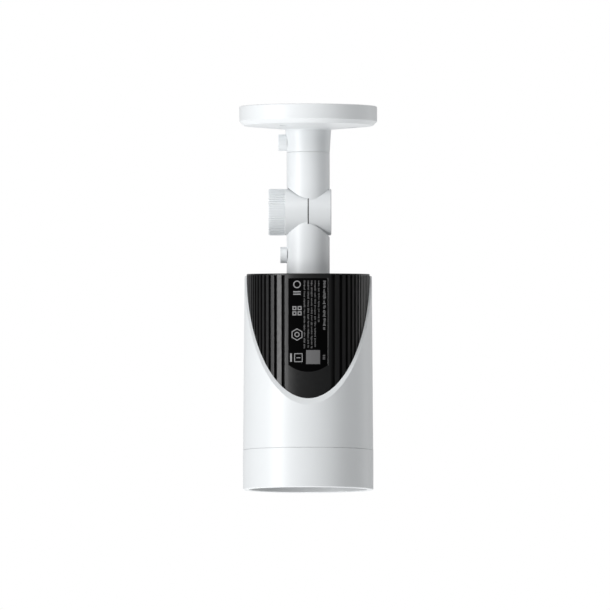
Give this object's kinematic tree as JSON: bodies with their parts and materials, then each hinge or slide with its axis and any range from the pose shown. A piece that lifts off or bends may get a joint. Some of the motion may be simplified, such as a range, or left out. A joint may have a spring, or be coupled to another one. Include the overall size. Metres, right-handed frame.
{
  "type": "baby monitor camera",
  "caption": "Small bullet-shaped baby monitor camera hanging on a swivel and tilt bracket with a clamp knob, ribbed underside, hooded front window and round screw-on base",
  "frame": {"origin": "centre of the mounting plate's back face, which is the centre of its three-screw circle", "axes": "+Z out of the plate's back into the ceiling, the camera hangs along -Z, -Y is the side of the ribbed panel, and the clamp knob is on -X"},
  "size_m": [0.0688, 0.0688, 0.1919],
  "materials": {
    "white_plastic": "fine satin moulding",
    "knob_plastic": "fine satin moulding",
    "black_plastic": "satin, finely sparked",
    "label_film": "matte printed film",
    "grey_nylon": "matte",
    "steel": "zinc plated",
    "brass": "plain",
    "aluminium": "cast and tumbled",
    "rubber": "matte",
    "clear_glass": "polished",
    "circuit_board": "solder resist",
    "chip_black": "moulded epoxy",
    "shield_metal": "tinned",
    "silicone_pad": "soft",
    "led_resin": "smoked clear epoxy",
    "led_white": "diffuse"
  },
  "bodies": {
    "mount": {"mount_plate": "white_plastic"},
    "pan_lock_slide": {"pan_lock_pad": "brass"},
    "pan_lock": {"pan_lock_screw": "steel", "pan_lock_knob": "knob_plastic"},
    "upper_arm": {"upper_arm": "white_plastic", "pan_retainer_washer": "steel", "pan_retainer_screw": "steel", "tilt_friction_washer": "grey_nylon", "tilt_nut": "steel", "hinge_cap": "white_plastic"},
    "tilt_clamp_slide": {"tilt_clamp_washer": "steel"},
    "tilt_clamp": {"tilt_bolt": "steel", "tilt_knob": "knob_plastic"},
    "lower_arm": {"lower_arm": "white_plastic"},
    "roll_lock_slide": {"roll_lock_pad": "brass"},
    "roll_lock": {"roll_lock_screw": "steel", "roll_lock_knob": "knob_plastic"},
    "camera": {"camera_spigot": "aluminium", "spigot_screws": "steel", "rear_housing": "black_plastic", "id_label": "label_film", "outer_sleeve": "white_plastic", "front_ring": "white_plastic", "front_seal": "rubber", "front_window": "clear_glass", "lens_bezel": "black_plastic", "chassis": "aluminium", "rear_screws": "steel", "main_board": "circuit_board", "processor": "chip_black", "memory_chip": "chip_black", "wireless_module": "shield_metal", "thermal_pad": "silicone_pad", "main_board_screws": "steel", "wifi_antennas": "circuit_board", "service_board": "circuit_board", "service_board_screws": "steel", "power_inlet": "steel", "card_holder": "steel", "memory_card": "chip_black", "reset_switch": "chip_black", "speaker": "chip_black", "sensor_board": "circuit_board", "sensor_board_screws": "steel", "image_sensor": "chip_black", "lens_holder": "black_plastic", "ir_filter": "clear_glass", "lens_barrel": "black_plastic", "front_lens": "clear_glass", "rear_lens": "clear_glass", "led_board_posts": "brass", "led_board": "circuit_board", "led_board_screws": "steel", "ir_leds": "led_resin", "spotlight_leds": "led_white", "spotlight_lenses": "led_white", "light_sensor": "led_resin", "microphone": "shield_metal"},
    "port_cover": {"port_cover": "rubber"},
    "reset_button": {"reset_button": "rubber"}
  },
  "joints": [
    {"name": "pan", "type": "hinge", "parent": "mount", "child": "upper_arm", "pos_m": [0, 0, -0.0231], "axis": [0, 0, 1], "continuous": true},
    {"name": "tilt", "type": "hinge", "parent": "upper_arm", "child": "lower_arm", "pos_m": [0, 0, -0.05285], "axis": [1, 0, 0], "range_deg": [-60, 90]},
    {"name": "roll", "type": "hinge", "parent": "lower_arm", "child": "camera", "pos_m": [0, 0, -0.08428], "axis": [0, 0, 1], "continuous": true},
    {"name": "port_cover_hinge", "type": "hinge", "parent": "camera", "child": "port_cover", "pos_m": [0, 0.0239, -0.08425], "axis": [-1, 0, 0], "range_deg": [0, 90]},
    {"name": "reset_press", "type": "slide", "parent": "camera", "child": "reset_button", "axis": [0, 0, -1], "range_m": [0, 0.0004], "stiffness_N_per_m": 1500, "springref_m": -0.0004},
    {"name": "pan_lock_slide", "type": "slide", "parent": "mount", "child": "pan_lock_slide", "axis": [-1, 0, 0], "range_m": [0, 0.0007]},
    {"name": "pan_lock_turn", "type": "hinge", "parent": "pan_lock_slide", "child": "pan_lock", "pos_m": [0, 0, -0.01805], "axis": [-1, 0, 0], "range_deg": [0, 360]},
    {"name": "tilt_clamp_slide", "type": "slide", "parent": "upper_arm", "child": "tilt_clamp_slide", "axis": [-1, 0, 0], "range_m": [0, 0.001]},
    {"name": "tilt_clamp_turn", "type": "hinge", "parent": "tilt_clamp_slide", "child": "tilt_clamp", "pos_m": [0, 0, -0.05285], "axis": [-1, 0, 0], "range_deg": [0, 360]},
    {"name": "roll_lock_slide", "type": "slide", "parent": "lower_arm", "child": "roll_lock_slide", "axis": [-1, 0, 0], "range_m": [0, 0.0007]},
    {"name": "roll_lock_turn", "type": "hinge", "parent": "roll_lock_slide", "child": "roll_lock", "pos_m": [0, 0, -0.0743], "axis": [-1, 0, 0], "range_deg": [0, 360]}
  ],
  "couplings": [
    {"joint": "pan_lock_turn", "follows": "pan_lock_slide", "rad_per_m": 8976},
    {"joint": "tilt_clamp_turn", "follows": "tilt_clamp_slide", "rad_per_m": 6283.2},
    {"joint": "roll_lock_turn", "follows": "roll_lock_slide", "rad_per_m": 8976}
  ]
}
